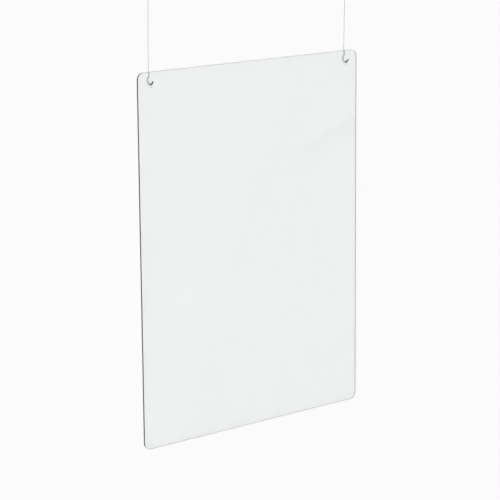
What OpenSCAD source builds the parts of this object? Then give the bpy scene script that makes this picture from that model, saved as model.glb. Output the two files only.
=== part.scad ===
// Hanging sneeze guard: a clear panel carried by two steel cables. Each cable ends below in a hook that
// passes through a corner hole of the panel, and above in a thimble, a snap hook and a ceiling eye plate.
//
// Frame: +X along the panel's width, -Y towards the panel's front, +Z up. The origin is on the ceiling,
// midway between the two eye plates. Millimetres.

/* [Panel] */
// Width of the clear panel
panel_w = 600; // [300:10:1200]
// Height of the clear panel
panel_h = 800; // [300:10:1200]
// Thickness of the clear panel
panel_t = 4; // [3:0.5:5]
// Radius of the panel's corners
corner_r = 15; // [5:1:25]
// Diameter of the hook holes
hole_d = 8; // [8:0.5:12]
// Distance from a side edge to a hook hole's centre
hole_side = 32; // [25:1:60]
// Distance from the top edge to a hook hole's centre
hole_top = 28; // [26:1:34]

/* [Panel hooks] */
// Diameter of the hook's wire
hook_d = 2.8; // [2:0.1:3]
// Centreline radius of the hook's bowl
bowl_r = 8; // [7:0.5:10]
// Centreline radius of the bend between bowl and shank
bend_r = 2.5; // [2:0.5:4]
// How far the hook's plane is turned from square to the panel, in degrees
hook_turn = 12; // [0:1:25]
// How far below the bowl's centre the tip stops, in degrees of the bowl
tip_short = 12; // [0:1:30]
// Outer diameter of the swaged sleeve that joins hook and cable
sleeve_d = 3.5; // [3.5:0.1:4]
// Length of the sleeve
sleeve_l = 8; // [7:0.5:8]
// Half angle of the sleeve's flared mouth
mouth_angle = 20; // [18:1:22]

/* [Cables] */
// Diameter of the steel cable
cable_d = 1.2; // [1:0.1:1.2]
// Height of the ceiling above the panel's top edge
ceiling_h = 225; // [224.5:0.5:226]

/* [Ceiling eye plates] */
// Width of an eye plate, along the panel
plate_w = 18; // [17:1:30]
// Length of an eye plate, front to back
plate_l = 38; // [36:1:60]
// Thickness of an eye plate
plate_t = 2.5; // [2.5:0.5:3]
// Distance between the two screw holes of a plate
screw_pitch = 24; // [22:1:26]
// Diameter of a screw hole
screw_d = 4.5; // [4:0.1:5]
// Diameter of the eye's wire
eye_d = 4; // [3:0.5:4]
// Centreline radius of the eye
eye_r = 6; // [6:0.5:7]
// Straight length of the eye's legs
eye_leg = 5; // [5:0.5:6]

/* [Snap hooks] */
// Diameter of the snap hook's bar
snap_d = 3.5; // [3:0.1:3.6]
// Overall length of the snap hook
snap_l = 40; // [38:1:42]
// Overall width of the snap hook
snap_w = 16; // [15.5:0.5:18]
// Diameter of the gate's hinge pin
gate_pin_d = 1.5; // [1.2:0.1:1.6]

/* [Thimbles and ferrules] */
// Centreline radius of the thimble's ring
thimble_r = 6.2; // [6.1:0.1:6.3]
// Diameter of the thimble's section
thimble_d = 3.2; // [2.8:0.1:3.4]
// Length of the ferrule that closes the cable's loop
ferrule_l = 8; // [7:0.5:9]

/* [Hidden] */
$fn = 48;

LEFT = -1;
RIGHT = 1;
eps = 0.01;             // how far a cut runs past a face
gap = 0.2;              // play where one ring hangs in another
hole_x = panel_w / 2 - hole_side;

// Heights of the whole, from the ceiling down
panel_top = -ceiling_h;
pivot_z = -(plate_t + eye_leg + eye_r);     // centre of the eye's lowest wire, where the snap hook swings

// The panel's hook, in its own plane: y is to the back, z up, from the bowl's centre
hook_r = hook_d / 2;
sleeve_r = sleeve_d / 2;
shank_y = panel_t / 2 + sleeve_r + 0.25;    // the shank stands just behind the panel
shank_u = shank_y / cos(hook_turn);
shank_x = -shank_u * sin(hook_turn);
bend_angle = acos((shank_u + bend_r) / (bowl_r + bend_r));
shank_low = (bowl_r + bend_r) * sin(bend_angle);
hole_half_depth = panel_t / 2 / cos(hook_turn);
bowl_drop = sqrt(pow(bowl_r - hook_r - 0.25, 2) - pow(hole_half_depth, 2));
bowl_z = panel_top - hole_top + hole_d / 2 + bowl_drop;
mouth_l = 1.8;          // depth of the sleeve's flared mouth
mouth_r = 1.35;         // radius of the mouth at the top
bend_depth = 1.5;       // how deep in the mouth the cable bends
socket_l = 5;           // depth of the sleeve's socket for the shank

// The hanging chain runs in one straight line from the eye to the sleeve
chain_z = panel_top - bend_depth - pivot_z;
lean_back = atan2(shank_y, -chain_z);
lean_side = atan2(-shank_x, sqrt(pow(chain_z, 2) + pow(shank_y, 2)));

// Snap hook, down the chain from the eye
snap_r = snap_d / 2;
snap_arc = snap_w / 2 - snap_r;
snap_high = eye_d / 2 + gap + snap_r - snap_arc;    // centre of the upper arc
snap_low = snap_high - (snap_l - snap_w);           // centre of the lower arc
hinge_z = snap_low + 4.4;
gate_top = snap_high - 3;
gate_r = snap_r;
slot_w = 1.8;           // slots in the gate for the hook's two tongues
tongue_w = 1.4;
tongue_r = 1.45;
slot_top = hinge_z + 2;
catch_l = 3.2;          // length of the tongue that the closed gate covers
spring_r = 0.8;
spring_wire = 0.2;
spring_turns = 8;

// Thimble and ferrule
cable_r = cable_d / 2;
ring_z = snap_low - snap_arc - (thimble_r - thimble_d / 2 - snap_r - gap);
groove_r = 7.15;        // radius at which the cable lies round the thimble
groove_d = 1.8;
leg_angle = 25;         // half angle between the thimble's legs
leg_l = 7;
tail_x = 1.4;           // the cable's tail lies beside its standing part

// The cable's route in the chain's own frame, x and z, from the panel hook up, round the thimble and back
cable_route = [
    [0, -213], [0, -200], [0, -185], [0, -170], [0, -155], [0, -140], [0, -125], [0, -110], [0, -95],
    [0, -80], [0, -66], [0, -60], [0, -54], [-0.3, -52], [-1.2, -49.5], [-3.5, -44.5], [-6.5, -38.2],
    [-7.1, -35.8], [-6.9, -33.3], [-5.9, -31.1], [-4.1, -29.3], [-1.9, -28.3], [0, -28], [1.9, -28.3],
    [4.1, -29.3], [5.9, -31.1], [6.9, -33.3], [7.1, -35.8], [6.5, -38.2], [4.1, -44.5], [2.2, -49.5],
    [1.6, -52], [1.4, -54], [1.4, -58], [1.4, -63]
];
ferrule_z = -54.5;      // top of the ferrule

// ---- helpers ----

// A round bar bent to an arc in the Y-Z plane; angles run from +Y towards +Z
module arc_yz(radius, bar, from, to) {
    rotate([90, 0, 90]) rotate([0, 0, from])
        rotate_extrude(angle = to - from) translate([radius, 0]) circle(bar);
}

// The same in the X-Z plane; angles run from +X towards +Z
module arc_xz(radius, bar, from, to) {
    rotate([90, 0, 0]) rotate([0, 0, from])
        rotate_extrude(angle = to - from) translate([radius, 0]) circle(bar);
}

// A cylinder that stands on `low` and ends at `high`, on the axis x, y
module post(x, y, low, high, radius) {
    translate([x, y, low]) cylinder(h = high - low, r = radius);
}

// A cylinder along X, centred on x = 0
module cross_pin(y, z, length, radius) {
    translate([-length / 2, y, z]) rotate([0, 90, 0]) cylinder(h = length, r = radius);
}

// Puts its children in the chain's frame: origin at the eye's wire, -Z along the hanging chain
module hang(side) {
    translate([side * hole_x, 0, pivot_z])
        rotate([lean_back, 0, 0]) rotate([0, lean_side, 0]) children();
}

function unit(v) = v / norm(v);

// Direction of a line of points at point i
function heading(line, i) =
    unit(line[min(i + 1, len(line) - 1)] - line[max(i - 1, 0)]);

// One ring of `sides` points round line[i], square to the line; `across` is never along the line
function ring(line, i, radius, sides, across) =
    let (t = heading(line, i), u = unit(cross(across, t)), v = cross(t, u))
    [for (k = [0 : sides - 1])
        line[i] + radius * (cos(360 * k / sides) * u + sin(360 * k / sides) * v)];

// A closed tube swept along a line of points
module tube(line, radius, sides, across) {
    last = len(line) - 1;
    points = [for (i = [0 : last]) each ring(line, i, radius, sides, across)];
    walls = [for (i = [0 : last - 1], k = [0 : sides - 1])
        let (a = i * sides + k, b = i * sides + (k + 1) % sides)
        each [[a, a + sides, b], [b, a + sides, b + sides]]];
    low_end = [for (k = [0 : sides - 1]) k];
    high_end = [for (k = [sides - 1 : -1 : 0]) last * sides + k];
    polyhedron(points, concat(walls, [low_end, high_end]));
}

// ---- ceiling eye plates ----

module ceiling_plate(side) {
    end_y = plate_l / 2 - plate_w / 2;
    color("silver") translate([side * hole_x, 0, 0]) difference() {
        union() {
            translate([-plate_w / 2, -end_y, -plate_t]) cube([plate_w, 2 * end_y, plate_t]);
            for (y = [-end_y, end_y]) post(0, y, -plate_t, 0, plate_w / 2);
        }
        for (y = [-screw_pitch / 2, screw_pitch / 2]) {
            post(0, y, -plate_t - 1, 1, screw_d / 2);
            // countersink for the screw's head, on the lower face
            translate([0, y, -plate_t - eps])
                cylinder(h = 1.5, r1 = screw_d / 2 + 1.5, r2 = screw_d / 2);
        }
    }
}

module eye(side) {
    color("silver") translate([side * hole_x, 0, -plate_t]) {
        for (x = [-eye_r, eye_r]) post(x, 0, -eye_leg, 0, eye_d / 2);
        translate([0, 0, -eye_leg]) arc_xz(eye_r, eye_d / 2, 180, 360);
    }
}

// ---- snap hooks ----

module snap_hook(side) {
    color("gainsboro") hang(side) difference() {
        union() {
            translate([0, 0, snap_high]) arc_yz(snap_arc, snap_r, 0, 180);
            post(0, -snap_arc, snap_low, snap_high, snap_r);
            translate([0, 0, snap_low]) arc_yz(snap_arc, snap_r, 180, 360);
            // nose, with the tongue that the closed gate covers
            post(0, snap_arc, gate_top + 0.3, snap_high, snap_r);
            translate([-tongue_w / 2, snap_arc - 1, gate_top + 0.3 - catch_l])
                cube([tongue_w, 2, catch_l + 0.5]);
            // foot, with the tongue that holds the hinge pin
            post(0, snap_arc, snap_low, hinge_z - 2.8, snap_r);
            translate([-tongue_w / 2, snap_arc - tongue_r, hinge_z - 3.2])
                cube([tongue_w, 2 * tongue_r, 3.2]);
            cross_pin(snap_arc, hinge_z, tongue_w, tongue_r);
        }
        cross_pin(snap_arc, hinge_z, snap_d, gate_pin_d / 2 + 0.02);
    }
}

module gate_pin(side) {
    color("dimgray") hang(side) {
        cross_pin(snap_arc, hinge_z, 2 * gate_r + 0.2, gate_pin_d / 2);
        // riveted heads
        for (x = [-1, 1]) translate([x * (gate_r + 0.3), 0, 0])
            cross_pin(snap_arc, hinge_z, 0.4, gate_pin_d / 2 + 0.35);
    }
}

module snap_gate(side) {
    color("gainsboro") hang(side) difference() {
        post(0, snap_arc, hinge_z - gate_r, gate_top, gate_r);
        // slot for the hinge's tongue, and slot for the nose's tongue
        translate([-slot_w / 2, snap_arc - gate_r - 1, hinge_z - gate_r - 1])
            cube([slot_w, 2 * gate_r + 2, slot_top - hinge_z + gate_r + 1]);
        translate([-slot_w / 2, snap_arc - gate_r - 1, gate_top - catch_l - 0.4])
            cube([slot_w, 2 * gate_r + 2, catch_l + 2]);
        // bore for the return spring
        post(0, snap_arc, slot_top - eps, gate_top - catch_l - 1.4, spring_r + spring_wire + 0.15);
        cross_pin(snap_arc, hinge_z, 2 * gate_r + 2, gate_pin_d / 2 + 0.05);
    }
}

module gate_spring(side) {
    low = slot_top + 0.2;
    height = gate_top - catch_l - 1.6 - spring_wire - low - spring_wire;
    steps = 12;
    line = [for (i = [0 : steps * spring_turns])
        [spring_r * cos(360 * i / steps), snap_arc + spring_r * sin(360 * i / steps),
         low + spring_wire + height * i / (steps * spring_turns)]];
    color("dimgray") hang(side) tube(line, spring_wire, 6, [0, 0, 1]);
}

// ---- cable loop ----

// The line of the thimble at a given radius: a ring open below, with two straight legs
module thimble_line(radius, bar, legs) {
    arc_xz(radius, bar, -leg_angle, 180 + leg_angle);
    for (m = [0, 1]) mirror([m, 0, 0]) rotate([0, leg_angle, 0])
        post(radius, 0, -legs, 0, bar);
}

module thimble(side) {
    color("darkgray") hang(side) translate([0, 0, ring_z]) difference() {
        thimble_line(thimble_r, thimble_d / 2, leg_l);
        thimble_line(groove_r, groove_d / 2, leg_l + 1);
    }
}

module cable(side) {
    line = [for (p = cable_route) [p[0], 0, p[1]]];
    color("lightgray") hang(side) tube(line, cable_r, 8, [0, 1, 0]);
}

module ferrule(side) {
    wall = cable_r + 0.9;
    low = ferrule_z - ferrule_l;
    color("darkgray") hang(side) difference() {
        union() {
            for (x = [0, tail_x]) post(x, 0, low, ferrule_z, wall);
            translate([0, -wall, low]) cube([tail_x, 2 * wall, ferrule_l]);
        }
        for (x = [0, tail_x]) post(x, 0, low - 1, ferrule_z + 1, cable_r + 0.04);
    }
}

// ---- panel hooks ----

module hook_sleeve(side) {
    top = panel_top;
    low = panel_top - sleeve_l;
    throat = mouth_r - mouth_l * tan(mouth_angle);
    waist = sleeve_r - 0.2;
    color("silver") translate([side * hole_x + shank_x, shank_y, 0]) rotate_extrude() polygon([
        [0, top - mouth_l], [throat, top - mouth_l], [mouth_r, top], [sleeve_r - 0.15, top],
        [sleeve_r, top - 0.3], [sleeve_r, top - 2.4], [waist, top - 2.8], [waist, top - 3.8],
        [sleeve_r, top - 4.2], [sleeve_r, low + 0.4], [sleeve_r - 0.2, low], [hook_r + 0.02, low],
        [hook_r + 0.02, low + socket_l], [0, low + socket_l]
    ]);
}

module panel_hook(side) {
    color("gainsboro") translate([side * hole_x, 0, bowl_z]) rotate([0, 0, hook_turn]) {
        arc_yz(bowl_r, hook_r, 180 + tip_short, 360 + bend_angle);
        translate([0, (bowl_r + bend_r) * cos(bend_angle), shank_low])
            arc_yz(bend_r, hook_r, 180, 180 + bend_angle);
        // a ball, a hair wider than the wire, joins the bend to the bowl and to the shank
        translate([0, bowl_r * cos(bend_angle), bowl_r * sin(bend_angle)]) sphere(r = hook_r + 0.03);
        translate([0, shank_u, shank_low]) sphere(r = hook_r + 0.03);
        post(0, shank_u, shank_low, panel_top - sleeve_l + socket_l - 0.1 - bowl_z, hook_r);
        // tapered tip
        rotate([tip_short, 0, 0]) translate([0, -bowl_r, 0]) cylinder(h = 1, r1 = hook_r, r2 = hook_r / 2);
    }
}

// ---- panel ----

module panel() {
    low = panel_top - panel_h;
    color([0.9, 0.95, 0.94, 0.4]) rotate([90, 0, 0]) difference() {
        union() {
            translate([-panel_w / 2, low + corner_r, -panel_t / 2])
                cube([panel_w, panel_h - 2 * corner_r, panel_t]);
            translate([-panel_w / 2 + corner_r, low, -panel_t / 2])
                cube([panel_w - 2 * corner_r, panel_h, panel_t]);
            for (x = [-1, 1], z = [low + corner_r, panel_top - corner_r])
                post(x * (panel_w / 2 - corner_r), z, -panel_t / 2, panel_t / 2, corner_r);
        }
        for (side = [LEFT, RIGHT])
            post(side * hole_x, panel_top - hole_top, -panel_t, panel_t, hole_d / 2);
    }
}

panel();
ceiling_plate(LEFT);  // left_ceiling_plate
ceiling_plate(RIGHT);  // right_ceiling_plate
eye(LEFT);  // left_eye
eye(RIGHT);  // right_eye
snap_hook(LEFT);  // left_snap_hook
snap_hook(RIGHT);  // right_snap_hook
gate_pin(LEFT);  // left_gate_pin
gate_pin(RIGHT);  // right_gate_pin
snap_gate(LEFT);  // left_snap_gate
snap_gate(RIGHT);  // right_snap_gate
gate_spring(LEFT);  // left_gate_spring
gate_spring(RIGHT);  // right_gate_spring
thimble(LEFT);  // left_thimble
thimble(RIGHT);  // right_thimble
cable(LEFT);  // left_cable
cable(RIGHT);  // right_cable
ferrule(LEFT);  // left_ferrule
ferrule(RIGHT);  // right_ferrule
hook_sleeve(LEFT);  // left_hook_sleeve
hook_sleeve(RIGHT);  // right_hook_sleeve
panel_hook(LEFT);  // left_panel_hook
panel_hook(RIGHT);  // right_panel_hook
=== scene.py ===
"""Looks of the hanging sneeze guard: a clear acrylic panel hung on two steel cables.

Everything is in metres, in the frame of the CAD model: +X along the panel's width, -Y its front, +Z up,
and the origin on the ceiling, midway between the two eye plates.
"""

import math

import bmesh
import bpy
from mathutils import Matrix, Vector


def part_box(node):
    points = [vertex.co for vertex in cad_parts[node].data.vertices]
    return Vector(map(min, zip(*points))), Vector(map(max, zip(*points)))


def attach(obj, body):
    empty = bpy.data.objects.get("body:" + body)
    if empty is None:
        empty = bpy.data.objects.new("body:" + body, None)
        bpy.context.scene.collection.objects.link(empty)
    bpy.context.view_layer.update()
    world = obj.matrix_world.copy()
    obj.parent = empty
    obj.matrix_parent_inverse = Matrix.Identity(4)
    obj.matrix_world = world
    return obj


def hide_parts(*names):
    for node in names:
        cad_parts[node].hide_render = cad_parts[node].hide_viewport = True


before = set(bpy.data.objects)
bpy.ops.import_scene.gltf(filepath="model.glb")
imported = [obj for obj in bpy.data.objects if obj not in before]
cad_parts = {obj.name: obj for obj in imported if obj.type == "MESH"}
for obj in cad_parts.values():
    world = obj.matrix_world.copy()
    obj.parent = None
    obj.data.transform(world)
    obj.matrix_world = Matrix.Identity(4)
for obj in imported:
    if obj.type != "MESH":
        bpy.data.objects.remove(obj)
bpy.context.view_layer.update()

MM = 0.001
SIDES = ("left", "right")

# ---- places taken from the frame ----

PANEL_LOW, PANEL_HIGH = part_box("panel")
PANEL_CENTRE = (PANEL_LOW + PANEL_HIGH) / 2
HOLE_DROP = 28 * MM         # hook hole's centre below the panel's top edge
HOLE_RADIUS = 4 * MM
CORNER_RADIUS = 15 * MM
EYE_WIRE = 2 * MM           # radius of the ceiling eye's wire
MOUTH_DEPTH = 1.5 * MM      # how deep in the sleeve's mouth the cable bends


def middle(node):
    """Centre of a CAD node's box."""
    low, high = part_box(node)
    return (low + high) / 2


def hole_x(side):
    """X of a side's hook hole, which is also its ceiling eye's."""
    return middle(side + "_eye").x


def hanging_point(side):
    """Centre of the ceiling eye's lowest wire, where the chain hangs."""
    return Vector((hole_x(side), 0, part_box(side + "_eye")[0].z + EYE_WIRE))


def sleeve_mouth(side):
    """The point in the sleeve's flared mouth where the cable leaves the hook."""
    centre = middle(side + "_hook_sleeve")
    return Vector((centre.x, centre.y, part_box(side + "_hook_sleeve")[1].z - MOUTH_DEPTH))


def chain_frame(side):
    """The frame of a hanging chain: origin at the eye's wire, -Z down the chain to the sleeve."""
    run = sleeve_mouth(side) - hanging_point(side)
    lean_back = math.atan2(run.y, -run.z)
    lean_side = math.atan2(-run.x, math.hypot(run.y, run.z))
    turn = Matrix.Rotation(lean_back, 4, "X") @ Matrix.Rotation(lean_side, 4, "Y")
    return Matrix.Translation(hanging_point(side)) @ turn


# ---- camera ----

VIEW_YAW = math.radians(39.42)
VIEW_PITCH = math.radians(12.395)
VIEW_ROLL = math.radians(-0.465)
VIEW_DISTANCE = 4.4585
VIEW_RIGHT = -0.0057        # how far the camera stands to the right of the line to the panel's centre
VIEW_UP = -0.0103           # and above it
LENS = 148.64
SENSOR = 36


def make_camera():
    forward = Vector((
        math.sin(VIEW_YAW) * math.cos(VIEW_PITCH),
        math.cos(VIEW_YAW) * math.cos(VIEW_PITCH),
        -math.sin(VIEW_PITCH),
    ))
    right = Vector((math.cos(VIEW_YAW), -math.sin(VIEW_YAW), 0))
    up = right.cross(forward)
    place = PANEL_CENTRE - forward * VIEW_DISTANCE + right * VIEW_RIGHT + up * VIEW_UP
    rolled_right = math.cos(VIEW_ROLL) * right + math.sin(VIEW_ROLL) * up
    rolled_up = math.cos(VIEW_ROLL) * up - math.sin(VIEW_ROLL) * right
    data = bpy.data.cameras.new("camera")
    data.lens = LENS
    data.sensor_width = SENSOR
    data.clip_end = 200
    camera = bpy.data.objects.new("camera", data)
    bpy.context.scene.collection.objects.link(camera)
    axes = Matrix((rolled_right, rolled_up, -forward)).transposed().to_4x4()
    camera.matrix_world = Matrix.Translation(place) @ axes
    bpy.context.scene.camera = camera


make_camera()

# ---- mesh helpers ----


def add_object(name, mesh, materials, smooth_angle=35):
    """A mesh object from a bmesh, smooth except across edges sharper than smooth_angle degrees."""
    bmesh.ops.recalc_face_normals(mesh, faces=mesh.faces)
    data = bpy.data.meshes.new(name)
    mesh.to_mesh(data)
    mesh.free()
    data.shade_smooth()
    data.set_sharp_from_angle(angle=math.radians(smooth_angle))
    for material in materials:
        data.materials.append(material)
    made = bpy.data.objects.new(name, data)
    bpy.context.scene.collection.objects.link(made)
    return made


def stand_for(piece, node, body):
    """piece takes the place of a CAD node and rides on its body."""
    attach(piece, body)
    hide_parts(node)
    return piece


def circle(centre, radius, steps):
    """Points of a circle in a plane, as pairs."""
    turns = [2 * math.pi * i / steps for i in range(steps)]
    return [(centre[0] + radius * math.cos(a), centre[1] + radius * math.sin(a)) for a in turns]


def rounded_outline(half_width, half_height, radius, steps):
    """Points of a rounded rectangle about the origin, as pairs; steps points on each corner."""
    points = []
    for quarter, (sx, sy) in enumerate(((1, 1), (-1, 1), (-1, -1), (1, -1))):
        for i in range(steps):
            a = math.pi / 2 * (quarter + i / (steps - 1))
            x = sx * (half_width - radius) + radius * math.cos(a)
            y = sy * (half_height - radius) + radius * math.sin(a)
            points.append((x, y))
    return points


def stacked(layers, rim_slot=0, hole_slot=0):
    """A solid of stacked outlines. Each layer is a list of closed loops, the outer one first, then the holes.
    The rim's and the holes' walls get their own material slots."""
    mesh = bmesh.new()
    rings = [[[mesh.verts.new(p) for p in loop] for loop in layer] for layer in layers]
    for low, high in zip(rings, rings[1:]):
        for number, (a, b) in enumerate(zip(low, high)):
            for i in range(len(a)):
                wall = mesh.faces.new((a[i - 1], a[i], b[i], b[i - 1]))
                wall.material_index = hole_slot if number else rim_slot
    for layer in (rings[0], rings[-1]):
        edges = [mesh.edges.get((loop[i - 1], loop[i])) for loop in layer for i in range(len(loop))]
        bmesh.ops.triangle_fill(mesh, use_beauty=True, edges=edges)
    return mesh


def turned_frames(line):
    """For each point of a line: the point and two directions square to it, turning as little as they can."""
    frames = []
    last = len(line) - 1
    across = None
    for i, point in enumerate(line):
        along = (line[min(i + 1, last)] - line[max(i - 1, 0)]).normalized()
        if across is None:
            across = along.orthogonal()
        across = (across - along * across.dot(along)).normalized()
        frames.append((point, across, along.cross(across)))
    return frames


def swept(frames, outline):
    """A closed tube. outline(i) gives the pairs of ring i, in its frame's two directions."""
    mesh = bmesh.new()
    rings = []
    for i, (point, u, v) in enumerate(frames):
        rings.append([mesh.verts.new(point + a * u + b * v) for a, b in outline(i)])
    for low, high in zip(rings, rings[1:]):
        for k in range(len(low)):
            mesh.faces.new((low[k - 1], low[k], high[k], high[k - 1]))
    mesh.faces.new(rings[0])
    mesh.faces.new(rings[-1])
    return mesh


def bar(line, radii, sides=28):
    """A round bar along a line; radii is one radius, or one for each point."""
    if not isinstance(radii, list):
        radii = [radii] * len(line)
    return swept(turned_frames(line), lambda i: circle((0, 0), radii[i], sides))


def lathed(profile, centre, steps=48):
    """A solid of revolution about a vertical axis; profile holds pairs of radius and height. A radius of 0
    closes an end."""
    mesh = bmesh.new()
    rings = []
    for radius, z in profile:
        if radius == 0:
            rings.append([mesh.verts.new((centre.x, centre.y, z))])
        else:
            rings.append([mesh.verts.new((x, y, z)) for x, y in circle(centre, radius, steps)])
    for low, high in zip(rings, rings[1:]):
        for k in range(steps):
            if len(low) == 1:
                mesh.faces.new((low[0], high[k], high[k - 1]))
            elif len(high) == 1:
                mesh.faces.new((low[k - 1], low[k], high[0]))
            else:
                mesh.faces.new((low[k - 1], low[k], high[k], high[k - 1]))
    return mesh


def stadium(start, end, radius, steps=16):
    """Points of a slot-shaped outline whose long axis runs from start to end, as pairs."""
    return arc((end, 0), radius, -90, 90, steps) + arc((start, 0), radius, 90, 270, steps)


def arc(centre, radius, start, end, steps):
    """Points of an arc as pairs, from start to end in degrees, the two ends among them."""
    angles = [math.radians(start + (end - start) * i / steps) for i in range(steps + 1)]
    return [(centre[0] + radius * math.cos(a), centre[1] + radius * math.sin(a)) for a in angles]


# ---- material helpers ----


def new_material(name):
    """An empty material with a Principled shader, which is returned with it."""
    material = bpy.data.materials.new(name)
    material.use_nodes = True
    tree = material.node_tree
    tree.nodes.clear()
    output = tree.nodes.new("ShaderNodeOutputMaterial")
    shader = tree.nodes.new("ShaderNodeBsdfPrincipled")
    tree.links.new(shader.outputs["BSDF"], output.inputs["Surface"])
    return material, shader


def noise(tree, scale, stretch=(1, 1, 1), detail=4):
    """A noise texture on the piece's own coordinates; scale is in features per metre."""
    place = tree.nodes.new("ShaderNodeTexCoord")
    mapping = tree.nodes.new("ShaderNodeMapping")
    mapping.inputs["Scale"].default_value = stretch
    texture = tree.nodes.new("ShaderNodeTexNoise")
    texture.inputs["Scale"].default_value = scale
    texture.inputs["Detail"].default_value = detail
    tree.links.new(place.outputs["Object"], mapping.inputs["Vector"])
    tree.links.new(mapping.outputs["Vector"], texture.inputs["Vector"])
    return texture.outputs["Fac"]


def ramp(tree, value, low, high):
    """Turns a value from 0 to 1 into one between two colours or two numbers."""
    if isinstance(low, tuple):
        node = tree.nodes.new("ShaderNodeValToRGB")
        node.color_ramp.elements[0].position = 0.3
        node.color_ramp.elements[1].position = 0.7
        node.color_ramp.elements[0].color = (*low, 1)
        node.color_ramp.elements[1].color = (*high, 1)
        tree.links.new(value, node.inputs["Fac"])
        return node.outputs["Color"]
    node = tree.nodes.new("ShaderNodeMapRange")
    node.inputs["From Min"].default_value = 0.3
    node.inputs["From Max"].default_value = 0.7
    node.inputs["To Min"].default_value = low
    node.inputs["To Max"].default_value = high
    tree.links.new(value, node.inputs["Value"])
    return node.outputs["Result"]


def bump(tree, shader, value, depth):
    """Raises the surface by up to depth metres where value is high."""
    node = tree.nodes.new("ShaderNodeBump")
    node.inputs["Strength"].default_value = 1
    node.inputs["Distance"].default_value = depth
    tree.links.new(value, node.inputs["Height"])
    tree.links.new(node.outputs["Normal"], shader.inputs["Normal"])


def metal(name, dark, bright, smooth, rough, grain=900, relief=4e-6, stretch=(1, 1, 1)):
    """A metal whose colour and roughness vary over the grain, with a fine relief."""
    material, shader = new_material(name)
    tree = material.node_tree
    shader.inputs["Metallic"].default_value = 1
    patches = noise(tree, grain / 4, detail=5)
    fine = noise(tree, grain * 3, stretch, detail=3)
    tree.links.new(ramp(tree, patches, dark, bright), shader.inputs["Base Color"])
    tree.links.new(ramp(tree, fine, smooth, rough), shader.inputs["Roughness"])
    bump(tree, shader, fine, relief)
    return material


# ---- materials ----


def clear_acrylic():
    """Cast acrylic: clear, slightly cool, with very faint waves in its gloss."""
    material, shader = new_material("clear_acrylic")
    tree = material.node_tree
    shader.inputs["Base Color"].default_value = (0.961, 0.988, 0.978, 1)
    shader.inputs["Transmission Weight"].default_value = 0.76
    shader.inputs["IOR"].default_value = 1.49
    haze = noise(tree, 9, detail=2)
    tree.links.new(ramp(tree, haze, 0.0, 0.012), shader.inputs["Roughness"])
    bump(tree, shader, noise(tree, 7, detail=1), 4e-6)
    tint = tree.nodes.new("ShaderNodeVolumeAbsorption")
    tint.inputs["Color"].default_value = (0, 0.28, 0.14, 1)
    tint.inputs["Density"].default_value = 6
    output = next(n for n in tree.nodes if n.type == "OUTPUT_MATERIAL")
    tree.links.new(tint.outputs["Volume"], output.inputs["Volume"])
    return material


def sawn_acrylic(name, colour, clearness, roughness):
    """A cut face of the sheet: fine saw marks across it, and much less clear than the sheet's own faces. Its
    colour comes from the caller; on the panel's outer edges that near-black colour is painted shade.
    """
    material, shader = new_material(name)
    tree = material.node_tree
    shader.inputs["Transmission Weight"].default_value = clearness
    shader.inputs["IOR"].default_value = 1.49
    marks = noise(tree, 160, stretch=(1, 0.05, 1), detail=3)
    light = tuple(1.25 * c for c in colour)
    tree.links.new(ramp(tree, marks, colour, light), shader.inputs["Base Color"])
    tree.links.new(ramp(tree, marks, roughness, roughness + 0.15), shader.inputs["Roughness"])
    bump(tree, shader, marks, 8e-6)
    return material


ACRYLIC = clear_acrylic()
# painted shade: the outer edges' near-black colour and zero clearness stand in for the dark line along a
# clear sheet's edges; the saw marks and roughness are the cut faces' own
PAINTED_DARK_EDGE = sawn_acrylic("acrylic_edge_painted_shade", (0.035, 0.044, 0.040), 0, 0.12)
DRILLED = sawn_acrylic("acrylic_drilled", (0.79, 0.80, 0.795), 0.1, 0.4)
ROPE_STEEL = metal("rope_steel", (0.40, 0.41, 0.42), (0.54, 0.55, 0.56), 0.22, 0.38, grain=2500)
HOOK_STEEL = metal("hook_steel", (0.040, 0.040, 0.039), (0.075, 0.075, 0.073), 0.12, 0.24, grain=1200)
SLEEVE_STEEL = metal("sleeve_steel", (0.44, 0.45, 0.46), (0.58, 0.58, 0.59), 0.20, 0.34, grain=1500)
NICKEL = metal("nickel_plate", (0.60, 0.59, 0.56), (0.72, 0.71, 0.68), 0.12, 0.24)
ZINC = metal("zinc_plate", (0.50, 0.53, 0.57), (0.66, 0.68, 0.70), 0.26, 0.42, grain=500)
FERRULE = metal("ferrule_aluminium", (0.62, 0.63, 0.64), (0.76, 0.77, 0.78), 0.30, 0.46)
THIMBLE = metal("thimble_zinc", (0.52, 0.54, 0.56), (0.68, 0.69, 0.70), 0.28, 0.44)
SPRING = metal("spring_wire", (0.40, 0.40, 0.40), (0.52, 0.52, 0.51), 0.18, 0.30, grain=3000)
RIVET = metal("rivet_steel", (0.48, 0.48, 0.47), (0.60, 0.60, 0.59), 0.20, 0.36, grain=1500)

# ---- cables ----

CABLE_DIAMETER = 1.2 * MM
ROPE_LAY = 7.5 * MM         # length along the cable of one whole turn of its strands
STRANDS = 6
RINGS_PER_LAY = 16
POINTS_PER_STRAND = 5

# The cable's route in the chain's frame, x and z in millimetres, from the panel hook up round the thimble
CABLE_ROUTE = (
    (0, -213), (0, -200), (0, -185), (0, -170), (0, -155), (0, -140), (0, -125), (0, -110), (0, -95),
    (0, -80), (0, -66), (0, -60), (0, -54), (-0.3, -52), (-1.2, -49.5), (-3.5, -44.5), (-6.5, -38.2),
    (-7.1, -35.8), (-6.9, -33.3), (-5.9, -31.1), (-4.1, -29.3), (-1.9, -28.3), (0, -28), (1.9, -28.3),
    (4.1, -29.3), (5.9, -31.1), (6.9, -33.3), (7.1, -35.8), (6.5, -38.2), (4.1, -44.5), (2.2, -49.5),
    (1.6, -52), (1.4, -54), (1.4, -58), (1.4, -63),
)


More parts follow.
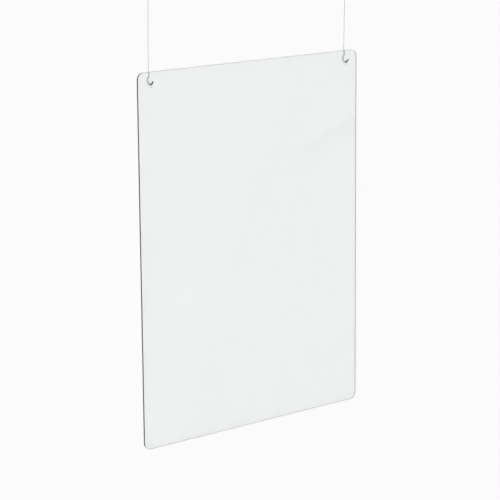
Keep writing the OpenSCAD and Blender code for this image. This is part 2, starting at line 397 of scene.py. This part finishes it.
def smooth_line(points, step):
    """A Catmull-Rom curve through the points, with points about step apart."""
    line = []
    last = len(points) - 1
    for i in range(last):
        before, start = points[max(i - 1, 0)], points[i]
        end, after = points[i + 1], points[min(i + 2, last)]
        count = max(1, round((end - start).length / step))
        for k in range(count):
            t = k / count
            line.append(
                0.5 * (2 * start + (end - before) * t
                       + (2 * before - 5 * start + 4 * end - after) * t * t
                       + (3 * start - before - 3 * end + after) * t * t * t)
            )
    line.append(points[last])
    return line


def strand_outline(turn):
    """Pairs round a six-strand cable's section, turned by an angle."""
    strand = CABLE_DIAMETER / 6
    pairs = []
    for k in range(STRANDS):
        facing = turn + 2 * math.pi * k / STRANDS
        centre = (2 * strand * math.cos(facing), 2 * strand * math.sin(facing))
        for i in range(POINTS_PER_STRAND):
            a = facing + math.radians(-96 + 192 * i / (POINTS_PER_STRAND - 1))
            pairs.append((centre[0] + strand * math.cos(a), centre[1] + strand * math.sin(a)))
    return pairs


def make_cable(side):
    place = chain_frame(side)
    route = [place @ Vector((x * MM, 0, z * MM)) for x, z in CABLE_ROUTE]
    line = smooth_line(route, ROPE_LAY / RINGS_PER_LAY)
    run = [0]
    for a, b in zip(line, line[1:]):
        run.append(run[-1] + (b - a).length)
    mesh = swept(turned_frames(line), lambda i: strand_outline(2 * math.pi * run[i] / ROPE_LAY))
    rope = add_object(side + "_rope", mesh, [ROPE_STEEL], smooth_angle=60)
    stand_for(rope, side + "_cable", side + "_line")
    return rope, line


# ---- panel ----

ARRIS = 0.15 * MM           # the small chamfer along the panel's polished edges


def make_panel():
    half_w = (PANEL_HIGH.x - PANEL_LOW.x) / 2
    half_h = (PANEL_HIGH.z - PANEL_LOW.z) / 2
    hole_z = half_h - HOLE_DROP
    hole_centres = [(hole_x(side), hole_z) for side in SIDES]
    layers = []
    for y, inset in ((PANEL_LOW.y, ARRIS), (PANEL_LOW.y + ARRIS, 0),
                     (PANEL_HIGH.y - ARRIS, 0), (PANEL_HIGH.y, ARRIS)):
        loops = [rounded_outline(half_w - inset, half_h - inset, CORNER_RADIUS - inset, 16)]
        loops += [circle(centre, HOLE_RADIUS + inset, 40) for centre in hole_centres]
        layers.append([[Vector((x, y, PANEL_CENTRE.z + z)) for x, z in loop] for loop in loops])
    mesh = stacked(layers, rim_slot=1, hole_slot=2)
    panel = add_object("clear_panel", mesh, [ACRYLIC, PAINTED_DARK_EDGE, DRILLED], smooth_angle=30)
    stand_for(panel, "panel", "panel")


# ---- panel hooks ----

HOOK_WIRE = 1.4 * MM        # radius of the hook's wire
BOWL_RADIUS = 8 * MM
BEND_RADIUS = 2.5 * MM
HOOK_TURN = math.radians(12)
TIP_SHORT = 12              # degrees of the bowl below its centre's height at which the tip stops
TIP_LENGTH = 1 * MM
SHANK_IN_SLEEVE = 4.9 * MM


def make_hook(side):
    """A question-mark hook: tapered tip in front, bowl through the hole, bend, and shank into the sleeve."""
    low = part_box(side + "_panel_hook")[0]
    sleeve = middle(side + "_hook_sleeve")
    bowl = Vector((hole_x(side), 0, low.z + BOWL_RADIUS + HOOK_WIRE))
    shank_y = sleeve.y / math.cos(HOOK_TURN)
    reach = BOWL_RADIUS + BEND_RADIUS
    bend = math.acos((shank_y + BEND_RADIUS) / reach)
    bend_centre = (reach * math.cos(bend), reach * math.sin(bend))
    bend_angle = math.degrees(bend)
    profile = arc((0, 0), BOWL_RADIUS, 180 + TIP_SHORT, 360 + bend_angle, 64)
    profile += arc(bend_centre, BEND_RADIUS, 180 + bend_angle, 180, 12)[1:]
    shank_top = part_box(side + "_hook_sleeve")[0].z + SHANK_IN_SLEEVE - bowl.z
    profile.append((shank_y, shank_top))
    start, after = Vector(profile[0]), Vector(profile[1])
    back = (start - after).normalized()
    tip = []
    radii = []
    for share in (1, 0.97, 0.88, 0.7, 0.45, 0.2):
        tip.append(tuple(start + back * TIP_LENGTH * share))
        radii.append(HOOK_WIRE * (1 - 0.5 * share * share) * (0.55 if share == 1 else 1))
    radii += [HOOK_WIRE] * len(profile)
    turn = Matrix.Rotation(HOOK_TURN, 3, "Z")
    line = [bowl + turn @ Vector((0, y, z)) for y, z in tip + profile]
    hook = add_object(side + "_hook", bar(line, radii), [HOOK_STEEL])
    stand_for(hook, side + "_panel_hook", side + "_hook")


# ---- hook sleeves ----


def make_sleeve(side):
    """The swaged sleeve: flared mouth for the cable, socket for the shank below, and a crimped waist."""
    low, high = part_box(side + "_hook_sleeve")
    top = high.z / MM
    foot = low.z / MM
    wide = (high.x - low.x) / 2 / MM
    waist = wide - 0.2
    profile = [
        # mouth
        (0, top - 1.8), (0.6, top - 1.8), (0.69, top - 1.78), (1.28, top - 0.16), (1.36, top - 0.04),
        (1.44, top),
        # collar
        (wide - 0.3, top), (wide - 0.1, top - 0.05), (wide - 0.02, top - 0.17), (wide, top - 0.3),
        (wide, top - 2.3), (wide - 0.03, top - 2.45),
        # crimped waist
        (wide - 0.17, top - 2.75), (waist, top - 2.9), (waist, top - 3.7), (wide - 0.17, top - 3.85),
        # body
        (wide - 0.03, top - 4.15), (wide, top - 4.3), (wide, foot + 0.4), (wide - 0.03, foot + 0.22),
        (wide - 0.1, foot + 0.07), (wide - 0.22, foot),
        # socket
        (1.46, foot), (1.42, foot + 0.06), (1.42, foot + 5), (0, foot + 5),
    ]
    mesh = lathed([(radius * MM, z * MM) for radius, z in profile], middle(side + "_hook_sleeve"))
    sleeve = add_object(side + "_sleeve", mesh, [SLEEVE_STEEL], smooth_angle=50)
    stand_for(sleeve, side + "_hook_sleeve", side + "_hook")


# ---- cable loops ----

FERRULE_TOP = -54.5         # in the chain's frame, millimetres
FERRULE_RADIUS = 1.5
FERRULE_BORE = 0.64
TAIL_X = 1.4                # how far the cable's tail lies from its standing part


def make_ferrule(side):
    """An oval crimped ferrule over the cable and its tail, pressed flat in two bands."""
    place = chain_frame(side)
    layers = []
    for down, inset, pressed in (
        (0, 0.25, 1), (0.07, 0.1, 1), (0.25, 0, 1), (1.2, 0, 1), (1.5, 0.03, 0.9), (1.7, 0.04, 0.87),
        (3.0, 0.04, 0.87), (3.2, 0.03, 0.9), (3.5, 0, 1), (4.5, 0, 1), (4.8, 0.03, 0.9), (5.0, 0.04, 0.87),
        (6.3, 0.04, 0.87), (6.5, 0.03, 0.9), (6.8, 0, 1), (7.75, 0, 1), (7.93, 0.1, 1), (8, 0.25, 1),
    ):
        outer = [(x, y * pressed) for x, y in stadium(0, TAIL_X, FERRULE_RADIUS - inset)]
        loops = [outer] + [circle((x, 0), FERRULE_BORE, 16) for x in (0, TAIL_X)]
        layers.append([[place @ Vector((x * MM, y * MM, (FERRULE_TOP - down) * MM)) for x, y in loop]
                       for loop in loops])
    ferrule = add_object(side + "_crimp", stacked(layers), [FERRULE], smooth_angle=40)
    return stand_for(ferrule, side + "_ferrule", side + "_line")


# ---- ceiling hardware ----

SCREW_Y = 12                # millimetres from a plate's centre to its screw holes
SPRING_TURNS = 8
SPRING_RADIUS = 0.8 * MM
SPRING_WIRE = 0.2 * MM      # radius of the spring's wire
GATE_Y = 6.25 * MM          # the gate's axis, in the chain's frame
SPRING_LOW = -19.5 * MM
SPRING_HEIGHT = 9.2 * MM


def make_plate(side):
    """A plate with rounded lower edges and two countersunk screw holes."""
    low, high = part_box(side + "_ceiling_plate")
    centre_x = (low.x + high.x) / 2
    wide = (high.x - low.x) / 2
    straight = (high.y - low.y) / 2 - wide
    layers = []
    for z, inset, hole in (
        (0, 0.2, 2.35), (-0.2, 0, 2.25), (-1.0, 0, 2.25), (-2.0, 0, 3.25), (-2.2, 0.04, 3.45),
        (-2.37, 0.15, 3.62), (-2.46, 0.3, 3.71), (-2.5, 0.5, 3.78),
    ):
        loops = [stadium(-straight, straight, wide - inset * MM, 24)]
        loops += [circle((y * MM, 0), hole * MM, 32) for y in (-SCREW_Y, SCREW_Y)]
        layers.append([[Vector((centre_x - b, a, z * MM)) for a, b in loop] for loop in loops])
    plate = add_object(side + "_plate", stacked(layers), [ZINC], smooth_angle=35)
    stand_for(plate, side + "_ceiling_plate", "ceiling")


def make_eye(side):
    """A closed wire eye, with the weld that runs round each leg where it meets the plate."""
    low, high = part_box(side + "_eye")
    centre_x = (low.x + high.x) / 2
    radius = (high.x - low.x) / 2 - EYE_WIRE
    turn_z = low.z + radius + EYE_WIRE
    weld = ((0, 2.95), (0.12, 2.6), (0.35, 2.3), (0.7, 2.1), (1.2, 2.0))
    legs = [(radius, high.z - down * MM) for down, r in weld]
    line = legs + arc((0, turn_z), radius, 0, -180, 40) + [(-x, z) for x, z in reversed(legs)]
    radii = [r * MM for down, r in weld]
    radii += [EYE_WIRE] * 41 + radii[::-1]
    points = [Vector((centre_x + x, 0, z)) for x, z in line]
    eye = add_object(side + "_wire_eye", bar(points, radii, 32), [ZINC], smooth_angle=50)
    stand_for(eye, side + "_eye", "ceiling")


def make_spring(side):
    """The gate's return spring."""
    place = chain_frame(side)
    steps = 20 * SPRING_TURNS
    coil = circle((0, GATE_Y), SPRING_RADIUS, 20)
    line = []
    for i in range(steps + 1):
        x, y = coil[i % 20]
        line.append(place @ Vector((x, y, SPRING_LOW + SPRING_HEIGHT * i / steps)))
    spring = add_object(side + "_spring", bar(line, SPRING_WIRE, 10), [SPRING], smooth_angle=60)
    stand_for(spring, side + "_gate_spring", side + "_gate")


# ---- stage ----

FLOOR_Z = -2.4
FLOOR_HALF = 60


def make_floor():
    """A plain pale floor that runs far behind the guard, so that it is the backdrop too."""
    material, shader = new_material("floor")
    shader.inputs["Base Color"].default_value = (0.800, 0.7935, 0.800, 1)
    shader.inputs["Roughness"].default_value = 0.9
    shader.inputs["Specular IOR Level"].default_value = 0
    mesh = bmesh.new()
    corners = ((-1, -1), (1, -1), (1, 1), (-1, 1))
    mesh.faces.new([mesh.verts.new((x * FLOOR_HALF, y * FLOOR_HALF, FLOOR_Z)) for x, y in corners])
    add_object("floor", mesh, [material])


def make_world():
    """White all round the horizon, and dark high up in front, so that polished metal has contrast."""
    world = bpy.data.worlds.new("studio")
    world.use_nodes = True
    tree = world.node_tree
    background = tree.nodes["Background"]
    place = tree.nodes.new("ShaderNodeTexCoord")
    axes = tree.nodes.new("ShaderNodeSeparateXYZ")
    tree.links.new(place.outputs["Generated"], axes.inputs["Vector"])
    high = tree.nodes.new("ShaderNodeMapRange")
    high.interpolation_type = "SMOOTHSTEP"
    high.inputs["From Min"].default_value = math.sin(math.radians(12))
    high.inputs["From Max"].default_value = math.sin(math.radians(40))
    tree.links.new(axes.outputs["Z"], high.inputs["Value"])
    front = tree.nodes.new("ShaderNodeMapRange")
    front.interpolation_type = "SMOOTHSTEP"
    front.inputs["From Min"].default_value = 0.2
    front.inputs["From Max"].default_value = -0.5
    tree.links.new(axes.outputs["Y"], front.inputs["Value"])
    both = tree.nodes.new("ShaderNodeMath")
    both.operation = "MULTIPLY"
    tree.links.new(high.outputs["Result"], both.inputs[0])
    tree.links.new(front.outputs["Result"], both.inputs[1])
    tree.links.new(ramp(tree, both.outputs["Value"], (1, 0.992, 1), (0.12, 0.12, 0.12)),
                   background.inputs["Color"])
    background.inputs["Strength"].default_value = 0.973
    bpy.context.scene.world = world


def make_sun():
    data = bpy.data.lights.new("overhead", "SUN")
    data.energy = 1.81
    data.angle = math.radians(60)
    light = bpy.data.objects.new("overhead", data)
    light.rotation_euler = (math.radians(22), math.radians(-14), 0)
    bpy.context.scene.collection.objects.link(light)


PAINTED_REFLECTION_WHITE = 0.86           # the painted reflection's base brightness, near the floor's brightness, so that the card's own outline doesn't show
CARD_AWAY = 1.2             # how far in front of the panel the card stands, along the reflected view
BELOW_EDGE = (0.524, -0.8517, 0)        # on the card, square to the painted dark wedge's slanting edge
LEFTWARD = (-0.9668, 0.2558, 0)         # on the card, towards its painted brighter part


def slope(tree, point, across, low, high, start, end, smooth=True):
    """Goes from start to end while the distance along a direction goes from low to high metres."""
    along = tree.nodes.new("ShaderNodeVectorMath")
    along.operation = "DOT_PRODUCT"
    tree.links.new(point, along.inputs[0])
    along.inputs[1].default_value = across
    node = tree.nodes.new("ShaderNodeMapRange")
    node.interpolation_type = "SMOOTHSTEP" if smooth else "LINEAR"
    node.inputs["From Min"].default_value = low
    node.inputs["From Max"].default_value = high
    node.inputs["To Min"].default_value = start
    node.inputs["To Max"].default_value = end
    tree.links.new(along.outputs["Value"], node.inputs["Value"])
    return node.outputs["Result"]


def math_node(tree, operation, a, b):
    """One Math node; b is another node's output or a number."""
    node = tree.nodes.new("ShaderNodeMath")
    node.operation = operation
    tree.links.new(a, node.inputs[0])
    if isinstance(b, float):
        node.inputs[1].default_value = b
    else:
        tree.links.new(b, node.inputs[1])
    return node.outputs["Value"]


def make_painted_reflection_card():
    """A white glowing card, a painted reflection that only the panel's gloss shows: a little brighter on the
    left, and with a painted dark wedge high on the right, under a slanting edge."""
    material = bpy.data.materials.new("painted_reflection_card")
    material.use_nodes = True
    tree = material.node_tree
    tree.nodes.clear()
    output = tree.nodes.new("ShaderNodeOutputMaterial")
    painted_reflection_glow = tree.nodes.new("ShaderNodeEmission")
    painted_reflection_glow.inputs["Color"].default_value = (1, 0.992, 1, 1)
    tree.links.new(painted_reflection_glow.outputs["Emission"], output.inputs["Surface"])
    place = tree.nodes.new("ShaderNodeTexCoord").outputs["Object"]
    edge = slope(tree, place, BELOW_EDGE, -0.166, -0.160, 0, 1)
    fade = slope(tree, place, BELOW_EDGE, -0.164, -0.082, 1, 0, smooth=False)
    side = slope(tree, place, (1, 0, 0), 0.05, 0.26, 0.12, 1)
    # painted shade: the dark wedge in the card's glow, seen only as a reflection in the panel
    painted_dark_wedge = math_node(tree, "MULTIPLY", math_node(tree, "MULTIPLY", edge, side),
                      math_node(tree, "POWER", fade, 2.0))
    # painted highlight: the card's brighter left part, seen only as a reflection in the panel
    left = slope(tree, place, LEFTWARD, 0.046, 0.062, 0, 0.17)
    light = math_node(tree, "ADD", left, PAINTED_REFLECTION_WHITE)
    dark = math_node(tree, "MULTIPLY", painted_dark_wedge, 0.85)
    tree.links.new(math_node(tree, "SUBTRACT", light, dark), painted_reflection_glow.inputs["Strength"])
    mesh = bmesh.new()
    corners = ((-0.8, -0.9), (0.8, -0.9), (0.8, 0.9), (-0.8, 0.9))
    mesh.faces.new([mesh.verts.new((x, y, 0)) for x, y in corners])
    painted_reflection_card = add_object("painted_reflection_card", mesh, [material])
    # the camera as the panel's front face mirrors it
    eye = bpy.context.scene.camera.matrix_world.copy()
    mirror = Matrix.Diagonal((1, -1, 1, 1))
    mirror.translation = (0, 2 * PANEL_LOW.y, 0)
    spot = mirror @ eye @ Matrix.Translation((0, 0, -VIEW_DISTANCE - CARD_AWAY))
    painted_reflection_card.matrix_world = spot
    painted_reflection_card.visible_camera = False
    painted_reflection_card.visible_diffuse = False
    painted_reflection_card.visible_transmission = False
    painted_reflection_card.visible_volume_scatter = False
    painted_reflection_card.visible_shadow = False


make_floor()
make_world()
make_sun()
make_painted_reflection_card()
bpy.context.scene.view_settings.view_transform = "Standard"

# ---- the guard ----

make_panel()
for side in SIDES:
    rope, line = make_cable(side)
    ferrule = make_ferrule(side)
    make_hook(side)
    make_sleeve(side)
    make_plate(side)
    make_eye(side)
    make_spring(side)

CAD_FINISHES = {
    "snap_hook": NICKEL,
    "snap_gate": NICKEL,
    "gate_pin": RIVET,
    "thimble": THIMBLE,
}
for kind, material in CAD_FINISHES.items():
    for side in SIDES:
        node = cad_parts[side + "_" + kind]
        node.data.materials.clear()
        node.data.materials.append(material)
